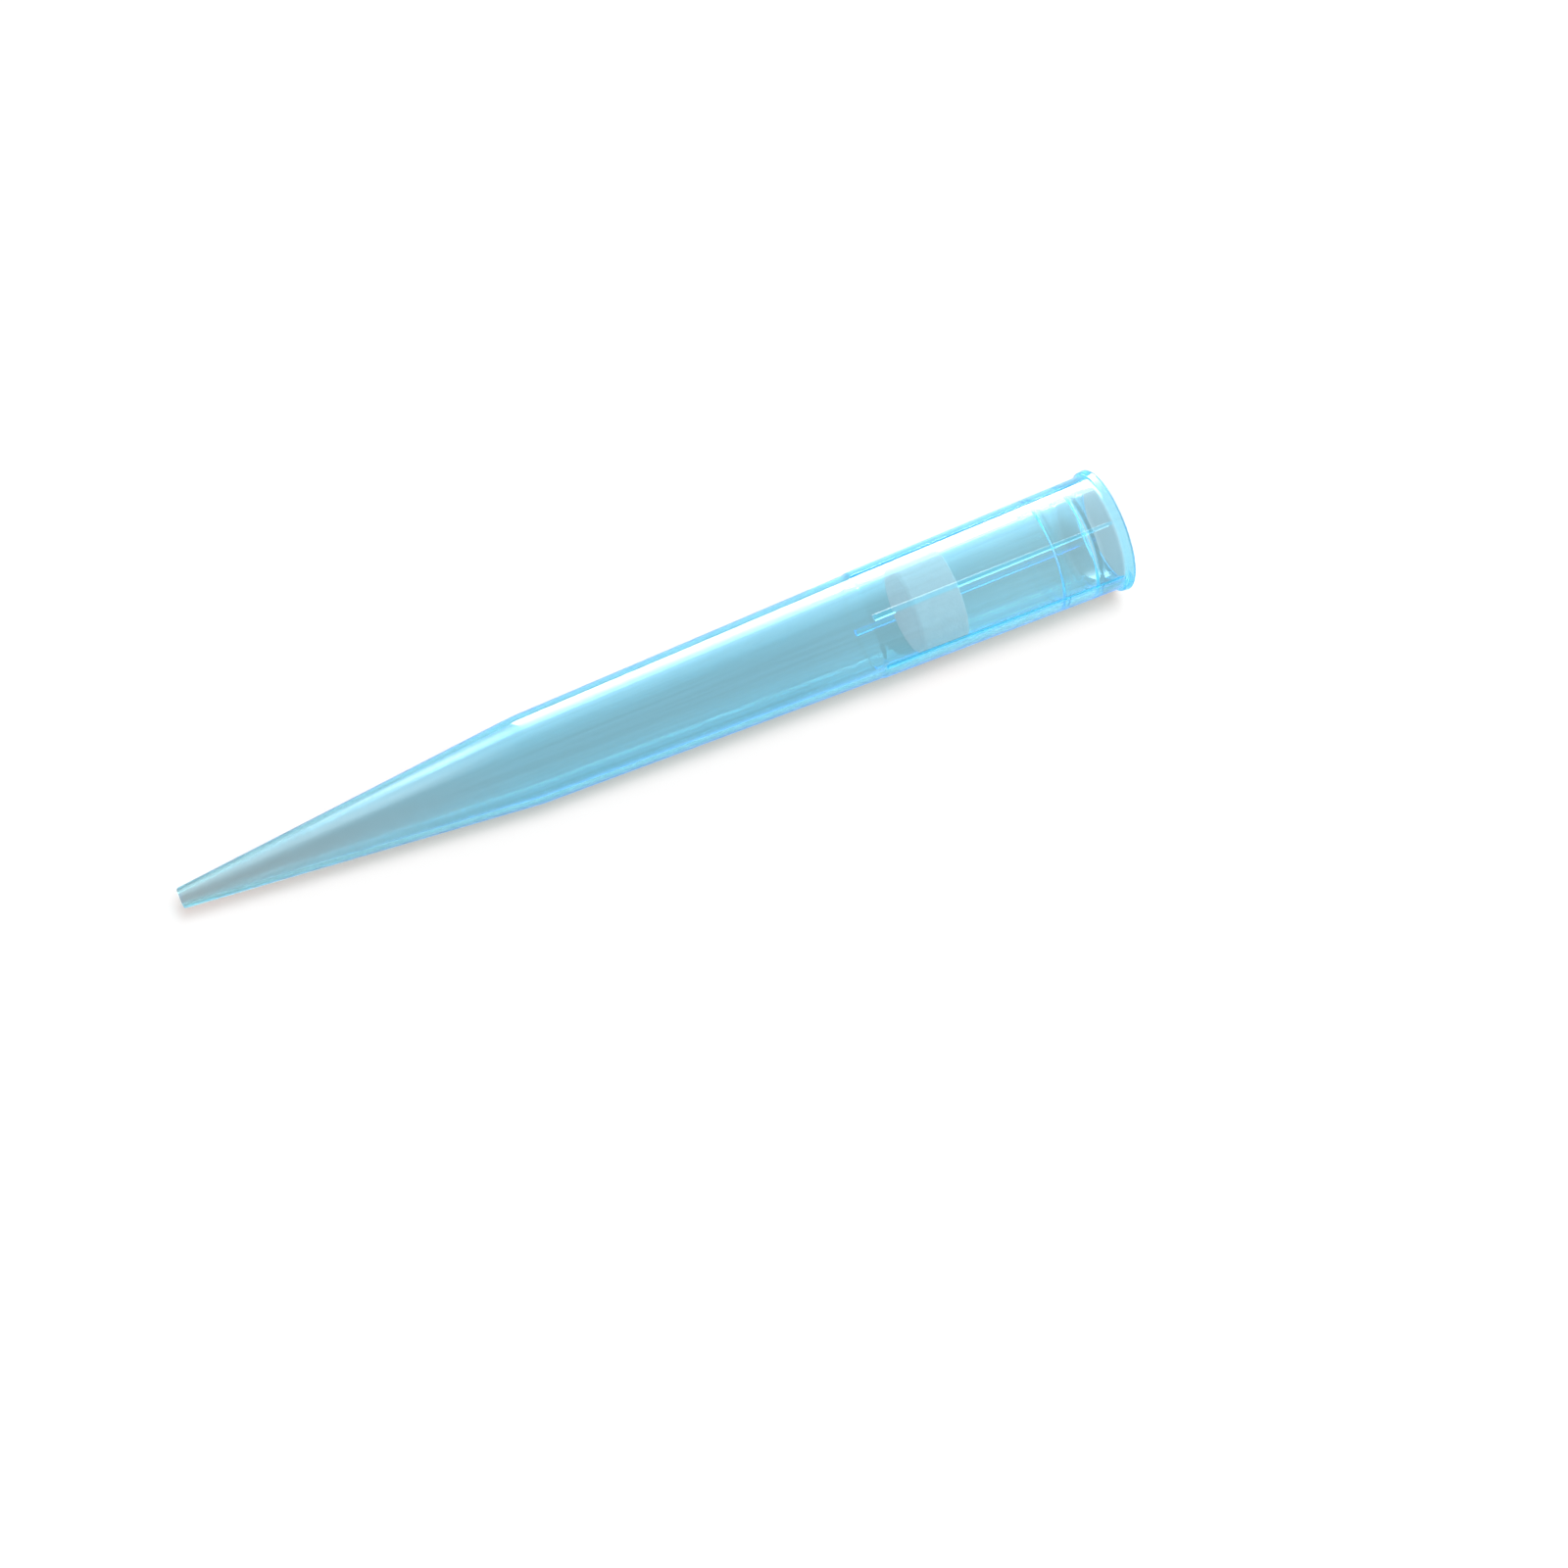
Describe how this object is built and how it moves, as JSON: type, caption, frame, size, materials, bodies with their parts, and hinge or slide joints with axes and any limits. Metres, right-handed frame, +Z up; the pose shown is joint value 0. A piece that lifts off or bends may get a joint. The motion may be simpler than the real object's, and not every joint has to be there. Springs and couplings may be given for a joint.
{
  "type": "filter pipette tip",
  "caption": "Tapered translucent pipette tip lying on its side, with a ribbed collar, a flared mouth and a porous filter plug held in the collar.",
  "frame": {"origin": "middle of the object's box, on the surface it lies on", "axes": "+X along the tip from the orifice towards the mouth, +Z up; the tip's own axis climbs 1.74 degrees towards the mouth"},
  "size_m": [0.0692, 0.009, 0.009],
  "materials": {
    "tip_polypropylene": "clear light blue moulded polypropylene, glossy outside, with fine lengthwise polishing marks in the bore",
    "filter_polyethylene": "white sintered polyethylene, open-pored and matt"
  },
  "bodies": {
    "root": {"tip_body": "tip_polypropylene", "filter_plug": "filter_polyethylene"}
  },
  "joints": []
}
